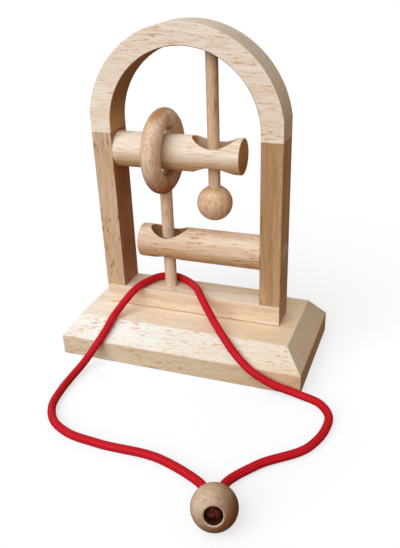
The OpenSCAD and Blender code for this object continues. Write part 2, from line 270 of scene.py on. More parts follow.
def new_group(name, inputs, outputs):
    """An empty node group with its inputs and outputs."""
    tree = bpy.data.node_groups.new(name, "ShaderNodeTree")
    for title, kind, value in inputs:
        socket = tree.interface.new_socket(title, in_out="INPUT", socket_type="NodeSocket" + kind)
        socket.default_value = value
    for title, kind in outputs:
        tree.interface.new_socket(title, in_out="OUTPUT", socket_type="NodeSocket" + kind)
    return tree, tree.nodes.new("NodeGroupInput"), tree.nodes.new("NodeGroupOutput")


def stretched_noise(tree, vector, stretch, detail, rough, seed):
    """Noise on coordinates in millimetres, with its own scale each way."""
    away = (seed, seed * 1.7, seed * 0.6)
    scaled = add(tree, "Mapping", {"Vector": vector, "Scale": stretch, "Location": away})
    noise = add(tree, "TexNoise", {
        "Vector": scaled.outputs[0], "Scale": 1.0, "Detail": detail, "Roughness": rough,
    })
    return noise.outputs["Fac"]


def between(tree, value, low, high, to_low=0.0, to_high=1.0):
    """Value mapped smoothly from low..high to to_low..to_high."""
    made = add(tree, "MapRange", {
        "Value": value, "From Min": low, "From Max": high, "To Min": to_low, "To Max": to_high,
    }, interpolation_type="SMOOTHSTEP")
    return made.outputs["Result"]


def times(tree, a, b):
    return add(tree, "Math", {0: a, 1: b}, operation="MULTIPLY").outputs[0]


def plus(tree, a, b):
    return add(tree, "Math", {0: a, 1: b}, operation="ADD").outputs[0]


def minus(tree, a, b):
    return add(tree, "Math", {0: a, 1: b}, operation="SUBTRACT").outputs[0]


def vectors(tree, operation, a, b):
    """Two vectors put together in the way that the operation names."""
    return add(tree, "VectorMath", {0: a, 1: b}, operation=operation).outputs[0]


def in_millimetres(tree, vector):
    return add(tree, "VectorMath", {0: vector, "Scale": 1 / MM}, operation="SCALE").outputs[0]


def blended(tree, share, a, b):
    """Colour a, with colour b over it as far as the share goes."""
    made = add(tree, "Mix", {0: share, 6: a, 7: b}, data_type="RGBA")
    return made.outputs[2]


def tinted(tree, share, colour, tint):
    """The colour multiplied by the tint, as far as the share goes."""
    made = add(tree, "Mix", {0: share, 6: colour, 7: tint}, data_type="RGBA", blend_type="MULTIPLY")
    return made.outputs[2]


def grey(tree, value):
    return add(tree, "CombineColor", {"Red": value, "Green": value, "Blue": value}).outputs[0]


def rubberwood_group():
    """Straight, open-pored wood. Its grain runs along X of the vector.

    The flat is the face that looks along Z and sides are those across Y, with
    the grain along X. The flat and side tints are painted light and shade on those faces.
    """
    colours = ("Pale", "Tan", "Fleck", "End Grain", "Flat Tint", "Side Tint", "Whole Tint")
    numbers = {
        "Flat From": 0.75, "Flat To": 0.97, "Tan Share": 0.5, "Line Share": 0.3,
        "Fleck Share": 0.5, "Fleck Amount": 0.5, "Flat Flecks": 1.0, "Fleck Length": 1.0,
        "Fleck Width": 1.0, "Fibre": 0.5, "Wear And Highlight": 0.0, "Seed": 0.0,
    }
    tree, given, out = new_group("rubberwood", [
        ("Vector", "Vector", (0, 0, 0)), ("Normal", "Vector", (0, 0, 1)),
        *((colour, "Color", WHITE) for colour in colours),
        *((number, "Float", value) for number, value in numbers.items()),
    ], [("Color", "Color"), ("Height", "Float"), ("Roughness", "Float")])
    use = given.outputs
    at = in_millimetres(tree, use["Vector"])
    seeded = add(tree, "CombineXYZ", {"X": use["Seed"], "Y": use["Seed"], "Z": use["Seed"]}).outputs[0]
    shifted = vectors(tree, "ADD", at, seeded)
    # The grain wanders a little from side to side
    slow = add(tree, "Mapping", {"Vector": shifted, "Scale": (0.011, 0.02, 0.02)}).outputs[0]
    sway = add(tree, "TexNoise", {"Vector": slow, "Scale": 1.0, "Detail": 1.0}).outputs["Color"]
    off = vectors(tree, "SUBTRACT", sway, (0.5, 0.5, 0.5))
    lean = vectors(tree, "MULTIPLY", off, (0.0, 8.0, 8.0))
    grain = vectors(tree, "ADD", shifted, lean)
    # Broad bands of tan, soft rings and fine lines along the grain
    bands = stretched_noise(tree, grain, (0.006, 0.06, 0.06), 2.0, 0.5, 3.1)
    rings = stretched_noise(tree, grain, (0.008, 0.28, 0.28), 3.0, 0.6, 11.7)
    tone = plus(
        tree,
        times(tree, between(tree, bands, 0.34, 0.66), 0.55),
        times(tree, between(tree, rings, 0.36, 0.66), 0.55),
    )
    colour = blended(tree, times(tree, tone, use["Tan Share"]), use["Pale"], use["Tan"])
    lines = stretched_noise(tree, grain, (0.05, 0.8, 0.8), 2.0, 0.55, 41.3)
    line = between(tree, lines, 0.48, 0.70)
    colour = blended(tree, times(tree, line, use["Line Share"]), colour, use["Tan"])
    # Flecks: short dashes along the grain, gathered in patches
    longer = add(tree, "CombineXYZ", {
        "X": use["Fleck Length"], "Y": use["Fleck Width"], "Z": use["Fleck Width"],
    }).outputs[0]
    drawn = vectors(tree, "DIVIDE", grain, longer)
    dash = stretched_noise(tree, drawn, (0.19, 1.15, 1.15), 2.5, 0.55, 57.2)
    patch = stretched_noise(tree, shifted, (0.035, 0.08, 0.08), 2.0, 0.5, 71.9)
    level = between(tree, patch, 0.36, 0.62, 0.685, 0.59)
    rare = minus(tree, level, times(tree, use["Fleck Amount"], 0.1))
    fleck = between(tree, minus(tree, dash, rare), -0.01, 0.13)
    face = add(tree, "SeparateXYZ", {"Vector": use["Normal"]})
    end, side = (
        add(tree, "Math", {0: face.outputs[axis]}, operation="ABSOLUTE").outputs[0] for axis in "XY"
    )
    on_flat = between(tree, face.outputs["Z"], use["Flat From"], use["Flat To"])
    on_face = add(tree, "Mix", {0: on_flat, 2: 1.0, 3: use["Flat Flecks"]}, data_type="FLOAT").outputs[0]
    on_face = times(tree, on_face, between(tree, end, 0.3, 0.7, 1.0, 0.2))
    shown = times(tree, times(tree, fleck, use["Fleck Share"]), on_face)
    colour = blended(tree, shown, colour, use["Fleck"])
    # Fine fibres, and the tints of the faces, which are painted light and shade
    fibre = stretched_noise(tree, grain, (0.07, 1.6, 1.6), 3.0, 0.7, 23.9)
    shade = between(tree, fibre, 0.3, 0.7, 0.76, 1.12)
    colour = tinted(tree, use["Fibre"], colour, grey(tree, shade))
    colour = tinted(tree, on_flat, colour, use["Flat Tint"])
    colour = tinted(tree, between(tree, side, 0.86, 0.99), colour, use["Side Tint"])
    # End grain has dots instead of lines
    dots = stretched_noise(tree, shifted, (0.9, 1.1, 1.1), 2.0, 0.6, 88.8)
    dotted = between(tree, dots, 0.35, 0.65, 0.86, 1.08)
    cut_end = tinted(tree, 1.0, use["End Grain"], grey(tree, dotted))
    colour = blended(tree, between(tree, end, 0.62, 0.97, 0.0, 0.92), colour, cut_end)
    # Eased edges are paler: partly wear, partly a painted highlight
    rubbed_and_lit = blended(tree, 0.6, colour, use["Pale"])
    colour = blended(tree, use["Wear And Highlight"], colour, rubbed_and_lit)
    colour = tinted(tree, 1.0, colour, use["Whole Tint"])
    lift = minus(tree, times(tree, fibre, 0.4), times(tree, shown, 0.8))
    rough = between(tree, fibre, 0.3, 0.7, 0.48, 0.62)
    tree.links.new(colour, out.inputs["Color"])
    tree.links.new(lift, out.inputs["Height"])
    tree.links.new(rough, out.inputs["Roughness"])
    return tree


def fading_tint_group():
    """A tint that comes in gradually along one way through a piece, in millimetres: painted light and
    shade.
    """
    tree, given, out = new_group("fading_tint", [
        ("Color", "Color", WHITE), ("Vector", "Vector", (0, 0, 0)), ("Way", "Vector", (1, 0, 0)),
        ("From", "Float", -1.0), ("To", "Float", 1.0), ("Tint", "Color", WHITE),
    ], [("Color", "Color")])
    use = given.outputs
    at = in_millimetres(tree, use["Vector"])
    along = add(tree, "VectorMath", {0: at, 1: use["Way"]}, operation="DOT_PRODUCT").outputs["Value"]
    share = between(tree, along, use["From"], use["To"])
    tree.links.new(tinted(tree, share, use["Color"], use["Tint"]), out.inputs["Color"])
    return tree


RUBBERWOOD = rubberwood_group()
FADING_TINT = fading_tint_group()
GRAIN_TURN = {"X": (0, 0, 0), "Y": (0, 0, -math.pi / 2), "Z": (0, -math.pi / 2, 0)}


def one_wood(name, grain, seed, slant, wear_and_highlight, light_fade, looks):
    """One wood material. Its looks are inputs of the rubberwood group."""
    material, tree = new_material(name)
    place = add(tree, "TexCoord")
    turn = GRAIN_TURN[grain]
    leaning = (turn[0], turn[1] + slant, turn[2])
    vector = add(tree, "Mapping", {"Vector": place.outputs["Object"], "Rotation": leaning})
    normal = add(
        tree, "Mapping", {"Vector": place.outputs["Normal"], "Rotation": turn},
        vector_type="NORMAL",
    )
    wood_looks = add(tree, "Group", node_tree=RUBBERWOOD)
    tree.links.new(vector.outputs[0], wood_looks.inputs["Vector"])
    tree.links.new(normal.outputs[0], wood_looks.inputs["Normal"])
    wood_looks.inputs["Seed"].default_value = seed
    wood_looks.inputs["Wear And Highlight"].default_value = wear_and_highlight
    for key, value in looks.items():
        wood_looks.inputs[key.replace("_", " ").title()].default_value = value
    colour = wood_looks.outputs["Color"]
    # Painted light and shade, coming in along one way
    if light_fade:
        way, start, stop, tint = light_fade
        colour = add(tree, "Group", {
            "Color": colour, "Vector": place.outputs["Object"],
            "Way": way, "From": start, "To": stop, "Tint": tint,
        }, node_tree=FADING_TINT).outputs["Color"]
    height = wood_looks.outputs["Height"]
    dents = add(tree, "Bump", {"Height": height, "Strength": 0.25, "Distance": 0.25 * MM})
    shader = add(tree, "BsdfPrincipled", {
        "Base Color": colour, "Roughness": wood_looks.outputs["Roughness"],
        "Normal": dents.outputs["Normal"], "Specular IOR Level": 0.3,
    })
    add(tree, "OutputMaterial", {"Surface": shader.outputs[0]})
    return material


def wood(name, slot, grain, seed, slant=0.0, wear_and_highlight=0.6, inside_shade=None, light_fade=None, inside_fade=None,
         bright_edges=False, **looks):
    """A wood finish: its faces, its edges paler (rubbed, and a painted highlight) and, tinted darker as
    painted shade, its cuts and bores.

    The fade is painted light and shade that comes in along a way: that way, where it starts and where it is
    full, in millimetres, and the tint. The cuts and bores can have their own, and bright edges have none,
    so they stay out of the painted shade.
    """
    edge_fade = None if bright_edges else light_fade
    finish = {
        "faces": one_wood(name, grain, seed, slant, 0.0, light_fade, looks),
        "edges": one_wood(name + "_edges", grain, seed, slant, wear_and_highlight, edge_fade, looks),
        "slot": slot,
    }
    # The cuts and bores take a darker tint: painted shade
    if inside_shade:
        looks, light_fade = dict(looks, whole_tint=inside_shade), inside_fade or light_fade
        finish["inside_shade"] = one_wood(name + "_inside", grain, seed, slant, 0.0, light_fade, looks)
    return finish


def rgb(red, green, blue):
    """A colour from 0..255 display values, as Blender's linear colour."""
    def linear(value):
        value /= 255
        return value / 12.92 if value <= 0.04045 else ((value + 0.055) / 1.055) ** 2.4
    return (linear(red), linear(green), linear(blue), 1)


# Modelling helpers, all in millimetres

def start_piece(name):
    """The primitive that was just added becomes a piece with its place in its mesh."""
    piece = bpy.context.active_object
    piece.name = piece.data.name = name
    bpy.ops.object.transform_apply(location=True, rotation=True, scale=True)
    return piece


def only(piece):
    """Selects this piece alone."""
    bpy.ops.object.select_all(action="DESELECT")
    piece.select_set(True)
    bpy.context.view_layer.objects.active = piece


def block(name, low, high):
    """A box between two corners."""
    low, high = Vector(low) * MM, Vector(high) * MM
    bpy.ops.mesh.primitive_cube_add(size=1, location=(low + high) / 2, scale=high - low)
    return start_piece(name)


ALONG = {"X": (0, math.pi / 2, 0), "Y": (-math.pi / 2, 0, 0), "Z": (0, 0, 0)}


def round_bar(name, start, length, radius, along, sides=HOLE_SIDES):
    """A cylinder that starts at a point and runs along an axis."""
    way = Vector([float(axis == along) for axis in "XYZ"])
    middle = (Vector(start) + way * length / 2) * MM
    bpy.ops.mesh.primitive_cylinder_add(
        vertices=sides, radius=radius * MM, depth=length * MM,
        location=middle, rotation=ALONG[along],
    )
    return start_piece(name)


def ring_faces(rings, around, closed=False):
    """Faces between rings of points. If closed, the last ring joins the first."""
    row, col = np.meshgrid(np.arange(rings if closed else rings - 1), np.arange(around), indexing="ij")
    here, below = row * around, (row + 1) % rings * around
    beside = (col + 1) % around
    corners = [here + col, here + beside, below + beside, below + col]
    return np.stack(corners, axis=-1).reshape(-1, 4).tolist()


def piece_of(name, corners, faces):
    """A piece from its points in millimetres and the faces between them."""
    mesh = bpy.data.meshes.new(name)
    mesh.from_pydata((corners.reshape(-1, 3) * MM).tolist(), [], faces)
    piece = bpy.data.objects.new(name, mesh)
    bpy.context.collection.objects.link(piece)
    return piece


# The numbers of a piece's finishes, which are those of its material slots
FACES, EDGES, INSIDE = 0, 1, 2


def make_slots(piece, finish):
    """Gives the piece material slots up to this finish's number."""
    while len(piece.data.materials) <= finish:
        piece.data.materials.append(None)


def edit_chosen(piece, kind, chosen):
    """Starts edit mode with only those faces, edges or points selected that pass the test."""
    only(piece)
    bpy.ops.object.mode_set(mode="EDIT")
    bpy.ops.mesh.select_mode(type=kind)
    bpy.ops.mesh.select_all(action="DESELECT")
    mesh = bmesh.from_edit_mesh(piece.data)
    for part in {"FACE": mesh.faces, "EDGE": mesh.edges, "VERT": mesh.verts}[kind]:
        if chosen(part):
            part.select_set(True)
    bmesh.update_edit_mesh(piece.data)


def draw_out(x=0, z=0):
    """Extrudes the selected faces by so many millimetres."""
    bpy.ops.mesh.extrude_region_move(TRANSFORM_OT_translate={"value": (x * MM, 0, z * MM)})


def cut(piece, cutter, finish=FACES):
    """Takes the cutter's shape out of the piece. The cut gets the finish's number."""
    for part in (piece, cutter):
        make_slots(part, finish)
    for face in cutter.data.polygons:
        face.material_index = finish
    only(piece)
    modifier = piece.modifiers.new("cut", "BOOLEAN")
    modifier.object = cutter
    modifier.operation = "DIFFERENCE"
    modifier.solver = "EXACT"
    modifier.material_mode = "INDEX"
    bpy.ops.object.modifier_apply(modifier=modifier.name)
    bpy.data.objects.remove(cutter, do_unlink=True)


def merge_close(piece):
    """Merges the crowded points that a cut leaves, so that its edge rounds evenly."""
    only(piece)
    bpy.ops.object.mode_set(mode="EDIT")
    bpy.ops.mesh.select_all(action="SELECT")
    bpy.ops.mesh.remove_doubles(threshold=CROWDED * MM)
    bpy.ops.object.mode_set(mode="OBJECT")


def even_shading(piece):
    """Lets the large faces rule the shading beside eased edges and cuts."""
    only(piece)
    bpy.ops.object.shade_smooth_by_angle(angle=math.radians(32))
    modifier = piece.modifiers.new("even_shading", "WEIGHTED_NORMAL")
    modifier.keep_sharp = True
    modifier.weight = 80
    bpy.ops.object.modifier_apply(modifier=modifier.name)


def ease(piece, width, segments=3, test=None, sharper_than=30, finish=EDGES):
    """Rounds the sharp edges whose two ends pass the test, as sandpaper does."""
    def chosen(edge):
        if len(edge.link_faces) != 2 or edge.calc_face_angle(0) < math.radians(sharper_than):
            return False
        a, b = (Vector(v.co) / MM for v in edge.verts)
        return test is None or test(a, b)
    make_slots(piece, finish)
    edit_chosen(piece, "EDGE", chosen)
    bpy.ops.mesh.bevel(
        offset=width * MM, offset_type="OFFSET", segments=segments, profile=0.5,
        affect="EDGES", clamp_overlap=False, material=finish,
    )
    bpy.ops.object.mode_set(mode="OBJECT")


def finish_piece(piece, looks, body, *nodes):
    """Gives a piece its finishes and its body, in the place of its CAD nodes."""
    materials = piece.data.materials
    if not materials:
        materials.append(None)
    for slot, part in zip(range(len(materials)), ("faces", "edges", "inside_shade")):
        materials[slot] = looks.get(part, looks["faces"])
    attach(piece, body)
    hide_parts(*nodes)


# The wooden pieces

def countersunk_hole(x):
    """A cutter for a screw from below: its head, its cone and its shaft."""
    hole = round_bar("countersunk_hole", (x, FRAME_Y, -OVER), HEAD_H + OVER, HEAD_R, "Z")
    edit_chosen(hole, "FACE", lambda face: face.normal.z > 0.9)
    cone_top, narrower = HEAD_H + HEAD_R - SHAFT_R, SHAFT_R / HEAD_R
    draw_out(z=cone_top - HEAD_H)
    bpy.ops.transform.resize(
        value=(narrower, narrower, 1), center_override=(x * MM, FRAME_Y * MM, cone_top * MM),
    )
    draw_out(z=BASE_HIGH.z + OVER - cone_top)
    bpy.ops.object.mode_set(mode="OBJECT")
    return hole


def make_base(looks):
    """The base block: a straight slab whose top is drawn in to make four bevels."""
    base = block("base_block", BASE_LOW, (BASE_HIGH.x, BASE_HIGH.y, BASE_SIDE_H))
    edit_chosen(base, "FACE", lambda face: face.normal.z > 0.9)
    draw_out(z=BASE_HIGH.z - BASE_SIDE_H)
    bpy.ops.transform.resize(
        value=(1 - BEVEL_X / BASE_HIGH.x, 1 - BEVEL_Y / BASE_HIGH.y, 1),
        center_override=(0, 0, BASE_HIGH.z * MM),
    )
    bpy.ops.object.mode_set(mode="OBJECT")
    ease(base, BASE_EASED, sharper_than=20)
    # The screw holes take the darker finish of cuts: painted shade
    for side in (-1, 1):
        cut(base, countersunk_hole(side * UPRIGHT_X), INSIDE)
    even_shading(base)
    finish_piece(base, looks, "frame", "base_plate")


def make_rail(looks):
    """The foot rail. Its lower edges are darker: painted shade in the seam to the base."""
    rail = block("rail_block", RAIL_LOW, RAIL_HIGH)
    ease(rail, EASED, test=lambda a, b: max(a.z, b.z) > RAIL_LOW.z + 1)
    # The lower edges take the darker finish of cuts: painted shade in the seam
    ease(rail, SEAM_EASED, test=lambda a, b: max(a.z, b.z) < RAIL_LOW.z + 0.01, finish=INSIDE)
    for side in (-1, 1):
        start, rail_h = (side * UPRIGHT_X, FRAME_Y, RAIL_LOW.z - OVER), RAIL_TOP - RAIL_LOW.z
        cut(rail, round_bar("screw_hole", start, rail_h + 2 * OVER, SHAFT_R, "Z"))
    cut(rail, rod_socket("standing_rod", RAIL_TOP - STANDING_ROD_DEEP, RAIL_TOP + OVER))
    even_shading(rail)
    finish_piece(rail, looks, "frame", "foot_rail")


def shade_opening_edges(piece):
    """Eased edges beside the frame's opening take the shade of its inner sides."""
    make_slots(piece, INSIDE)
    for face in piece.data.polygons:
        x, z = face.center.x / MM, face.center.z / MM
        if face.material_index == EDGES and math.hypot(x, max(z - OPENING_Z, 0)) < INNER_X + EASED:
            face.material_index = INSIDE


def dowel_hole(side, low):
    """A cutter for the dowel between an upright and the arch, from low upwards."""
    start = (side * UPRIGHT_X, FRAME_Y, low)
    return round_bar("dowel_hole", start, DOWEL_DEEP + 2 * OVER, DOWEL_R + GLUE, "Z")


def make_upright(side, bar_z, name, node, looks):
    """An upright with the holes for its crossbar's tenon, its dowel and its screw."""
    x, half_w = side * UPRIGHT_X, (HALF_L - INNER_X) / 2
    post = block(name, *span(node))
    ease(post, EASED, test=lambda a, b: abs(a.z - b.z) > half_w)
    ease(post, JOINT_EASED, segments=1)
    shade_opening_edges(post)
    start = (x - half_w - OVER, FRAME_Y, bar_z)
    cut(post, round_bar("tenon_hole", start, 2 * (half_w + OVER), TENON_R + GLUE, "X", WIDE_SIDES))
    cut(post, dowel_hole(side, JOINT_Z - DOWEL_DEEP))
    start = (x, FRAME_Y, RAIL_TOP - OVER)
    cut(post, round_bar("pilot_hole", start, PILOT_DEEP + OVER, PILOT_R + GLUE, "Z"))
    even_shading(post)
    finish_piece(post, looks, "frame", node)


def rod_socket(rod, low, high):
    """A cutter for the hole that holds a rod."""
    rod_low, rod_high = span(rod)
    x, radius = (rod_low.x + rod_high.x) / 2, (rod_high.x - rod_low.x) / 2
    return round_bar("rod_socket", (x, FRAME_Y, low), high - low, radius + GLUE, "Z")


def make_arch(looks):
    """One sawn board: the outer curve, the inner curve and flats near the joints."""
    depth = RAIL_HIGH.y - RAIL_LOW.y
    arch = round_bar("arch_board", (0, RAIL_LOW.y, ARCH_Z), depth, ARCH_R, "Y", BOARD_SIDES)
    only(arch)
    bpy.ops.object.mode_set(mode="EDIT")
    for place, normal in (
        ((0, 0, JOINT_Z), (0, 0, -1)), ((HALF_L, 0, 0), (1, 0, 0)), ((-HALF_L, 0, 0), (-1, 0, 0)),
    ):
        bpy.ops.mesh.select_all(action="SELECT")
        bpy.ops.mesh.bisect(
            plane_co=Vector(place) * MM, plane_no=normal, use_fill=True, clear_outer=True,
        )
    bpy.ops.object.mode_set(mode="OBJECT")
    # The opening's curved and flat faces take the darker finish of cuts: painted shade
    start = (0, -PAST_FRAME, OPENING_Z)
    cut(arch, round_bar("inner_curve", start, 2 * PAST_FRAME, INNER_X, "Y", BOARD_SIDES), INSIDE)
    low, high = (-INNER_X, -PAST_FRAME, JOINT_Z - OVER), (INNER_X, PAST_FRAME, OPENING_Z)
    cut(arch, block("between_legs", low, high), INSIDE)
    ease(arch, EASED, test=lambda a, b: max(a.z, b.z) > JOINT_Z + 0.2)
    ease(arch, JOINT_EASED, segments=1, test=lambda a, b: max(a.z, b.z) < JOINT_Z + 0.02)
    shade_opening_edges(arch)
    for side in (-1, 1):
        cut(arch, dowel_hole(side, JOINT_Z - 2 * OVER))
    cut(arch, rod_socket("hanging_rod", UPPER_Z, span("hanging_rod")[1].z + GLUE))
    even_shading(arch)
    finish_piece(arch, looks, "frame", "arch")


def hole_place(rod):
    """Where along its bar the oval hole for a rod lies."""
    low, high = span(rod)
    return (low.x + high.x) / 2 + HOLE_SHIFT


def oval_cutter(rod, z, top_l, top_w, low_l, low_w):
    """An oval peg beside a rod, a little smaller at its lower end where the hole narrows."""
    x, reach = hole_place(rod), BAR_R + OVER
    bpy.ops.mesh.primitive_cylinder_add(
        vertices=WIDE_SIDES, radius=MM, depth=2 * reach * MM, location=Vector((x, FRAME_Y, z)) * MM,
        scale=(top_l / 2, top_w / 2, 1),
    )
    peg = start_piece("oval_peg")
    edit_chosen(peg, "VERT", lambda point: point.co.z < z * MM)
    bpy.ops.transform.resize(
        value=(low_l / top_l, low_w / top_w, 1),
        center_override=Vector((x, FRAME_Y, z - reach)) * MM,
    )
    bpy.ops.object.mode_set(mode="OBJECT")
    return peg


def make_crossbar(name, node, side, hole, looks):
    """A round bar with a tenon through its upright and an oval hole near its free end."""
    rod, z, hole_l = hole[:3]
    low, high = span(node)
    start, end = (-INNER_X, high.x) if side < 0 else (low.x, INNER_X)
    bar = round_bar(name, (start, FRAME_Y, z), end - start, BAR_R, "X", BAR_SIDES)
    # The tenon: the end at the upright is inset and drawn out through it
    edit_chosen(bar, "FACE", lambda face: face.normal.x * side > 0.9)
    bpy.ops.mesh.inset(thickness=(BAR_R - TENON_R) * MM)
    draw_out(x=side * (HALF_L - INNER_X))
    # Rings of edges beside the hole keep its faces away from the rest of the bar
    beside = hole_l / 2 + BESIDE
    for x in (hole_place(rod) - beside, hole_place(rod) + beside):
        bpy.ops.mesh.select_all(action="SELECT")
        bpy.ops.mesh.bisect(plane_co=(x * MM, 0, 0), plane_no=(1, 0, 0))
    bpy.ops.object.mode_set(mode="OBJECT")
    # The oval hole's walls take the darker finish of cuts: painted shade
    cut(bar, oval_cutter(*hole), INSIDE)
    merge_close(bar)
    ease(bar, TURNED_EASED, test=lambda a, b: max(abs(a.x), abs(b.x)) < INNER_X - 1)
    if side < 0:
        cut(bar, dowel_hole(side, JOINT_Z - DOWEL_DEEP))
    even_shading(bar)
    finish_piece(bar, looks, "frame", node)


def make_ball(looks):
    """The turned ball, with the hole for its rod."""
    bpy.ops.mesh.primitive_uv_sphere_add(
        segments=96, ring_count=64, radius=BALL_R * MM, location=BALL_AT * MM,
    )
    ball = start_piece("turned_ball")
    cut(ball, rod_socket("hanging_rod", span("hanging_rod")[0].z, BALL_HIGH.z + OVER))
    high = BALL_AT.z + 0.7 * BALL_R
    ease(ball, SOCKET_EASED, segments=2, sharper_than=45, test=lambda a, b: min(a.z, b.z) > high)
    even_shading(ball)
    finish_piece(ball, looks, "frame", "hanging_ball")


def make_ring(looks):
    """The turned ring, with the hole for its rod."""
    bpy.ops.mesh.primitive_torus_add(
        major_segments=160, minor_segments=64,
        major_radius=RING_R * MM, minor_radius=RING_THICK_R * MM,
        location=RING_AT * MM, rotation=(0, math.pi / 2, 0),
    )
    ring = start_piece("turned_ring")
    cut(ring, rod_socket("standing_rod", RING_LOW.z - OVER, span("standing_rod")[1].z))
    even_shading(ring)
    finish_piece(ring, looks, "frame", "ring")


def make_rod(name, node, looks):
    low, high = span(node)
    start = ((low.x + high.x) / 2, FRAME_Y, low.z)
    rod = round_bar(name, start, high.z - low.z, (high.x - low.x) / 2, "Z", ROD_SIDES)
    ease(rod, ROD_EASED, segments=2)
    even_shading(rod)
    finish_piece(rod, looks, "frame", node)


def bore_turn():
    """Turns the Z axis onto the bead's bore."""
    side = BORE_WAY.cross(LEFT_WAY)
    return Matrix((LEFT_WAY, side, BORE_WAY)).transposed().to_4x4()


def mouth(bore_r):
    """A bore's rounded mouth from its wall to the ball: points away from and along the bore."""
    away = bore_r + MOUTH_ROUND
    along = math.sqrt((BEAD_R - MOUTH_ROUND) ** 2 - away ** 2)
    turn = np.linspace(math.pi, math.atan2(along, away), MOUTH_SIDES + 1)
    return np.stack([away + MOUTH_ROUND * np.cos(turn), along + MOUTH_ROUND * np.sin(turn)], axis=1)


def bead_outline():
    """Points away from and along the bead's bore, and the finish of each side between them."""
    front, rear = mouth(FRONT_BORE_R), mouth(REAR_BORE_R)[::-1] * (1, -1)
    first, last = (math.atan2(along, away) for away, along in (front[-1], rear[0]))
    turn = np.linspace(first, last, BALL_SIDES + 1)[1:-1]
    ball = BEAD_R * np.stack([np.cos(turn), np.sin(turn)], axis=1)
    step = [(REAR_BORE_R, BORE_STEP), (FRONT_BORE_R, BORE_STEP)]
    # The half of each mouth beside its bore is paler: rubbed, and a painted highlight
    rubbed_and_lit = [EDGES] * (MOUTH_SIDES // 2)
    # The bore's walls and step take the darker finish of cuts: painted shade
    finishes = rubbed_and_lit + [FACES] * (BALL_SIDES + MOUTH_SIDES) + rubbed_and_lit + [INSIDE] * 3
    return np.vstack([front, ball, rear, step]), finishes


def make_bead(looks, around=128):
    """The bead: its outline goes round Z, then is turned and put in its place."""
    outline, finishes = bead_outline()
    away, along = outline.T[..., None]
    turn = -2 * math.pi * np.arange(around) / around
    corners = np.stack([away * np.cos(turn), away * np.sin(turn), along + 0 * turn], axis=-1)
    bead = piece_of("bored_bead", corners, ring_faces(len(outline), around, closed=True))
    bead.data.transform(Matrix.Translation(BEAD_AT * MM) @ bore_turn())
    make_slots(bead, INSIDE)
    numbers = np.repeat(finishes, around).astype(np.int32)
    bead.data.polygons.foreach_set("material_index", numbers)
    even_shading(bead)
    finish_piece(bead, looks, "bead", "loop_bead")


# The cord

def smooth_line(points, step):
    """The same smooth curve through the points as in the part's source, in even steps."""
    points = np.array(points, float)
    chords = np.diff(points, axis=0)
    long = np.linalg.norm(chords, axis=1)[:, None]
    ways = chords / long
    inner = (ways[:-1] * long[1:] + ways[1:] * long[:-1]) / (long[:-1] + long[1:])
    ways = np.vstack([ways[:1], inner, ways[-1:]])
    t = np.linspace(0, 1, 24, endpoint=False)[:, None]
    fine = []
    for i, chord in enumerate(chords):
        leave, arrive = long[i] * ways[i], long[i] * ways[i + 1]
        fine.append(points[i] + leave * t + (3 * chord - 2 * leave - arrive) * t ** 2
                    + (leave + arrive - 2 * chord) * t ** 3)
    return spaced(np.vstack(fine + [points[-1:]]), step)


def run_along(line):
    """How far along the line each of its points lies."""
    return np.concatenate([[0], np.cumsum(np.linalg.norm(np.diff(line, axis=0), axis=1))])


def spaced(line, step):
    """The same line with its points in even steps."""
    run = run_along(line)
    count = int(round(run[-1] / step))
    at = np.linspace(0, run[-1], count + 1)
    return np.stack([np.interp(at, run, line[:, k]) for k in range(3)], axis=1)


def frames_along(line):
    """Two directions across the line at each point, carried along without twist."""
    ahead = np.gradient(line, axis=0)
    ahead /= np.linalg.norm(ahead, axis=1)[:, None]
    across = np.zeros_like(ahead)
    side = np.cross(ahead[0], (0, 0, 1))
    across[0] = side / np.linalg.norm(side)
    for i in range(1, len(line)):
        side = across[i - 1] - ahead[i] * (across[i - 1] @ ahead[i])
        across[i] = side / np.linalg.norm(side)
    return across, np.cross(ahead, across)


def braid_height(along, around):
    """Height of a braid whose strands go over two and under two.

    along counts strands along the cord and around counts them round it. Gives the height from
    0 to 1, and whether the strand on top is one of those that go the first way.
    """
    a, b = around + along, around - along
    i, j = np.floor(a), np.floor(b)
    first = np.mod(i + j, 4) < 2
    # Where the strand on top is across its own width, and along its float
    across = np.where(first, a - i, b - j) * 2 - 1
    float_at = np.where(first, np.mod(b + i, 4), np.mod(a + j - 2, 4))
    along_float = np.clip(float_at - 1, -1, 1)
    crown = np.sqrt(np.clip(1 - 0.92 * across ** 2, 0, 1))
    arch = np.sqrt(np.clip(1 - 0.80 * along_float ** 2, 0, 1))
    return crown * arch, first


def cord_radius(line):
    """Full thickness, but squeezed where the two strands lie together in the bead."""
    off = line - np.array(BEAD_AT)
    way = np.array(BORE_WAY)
    w = off @ way
    side = np.linalg.norm(off - w[:, None] * way, axis=1)
    return np.minimum(CORD_R, np.maximum(STRAND_R, side - STRAND_GAP / 2))


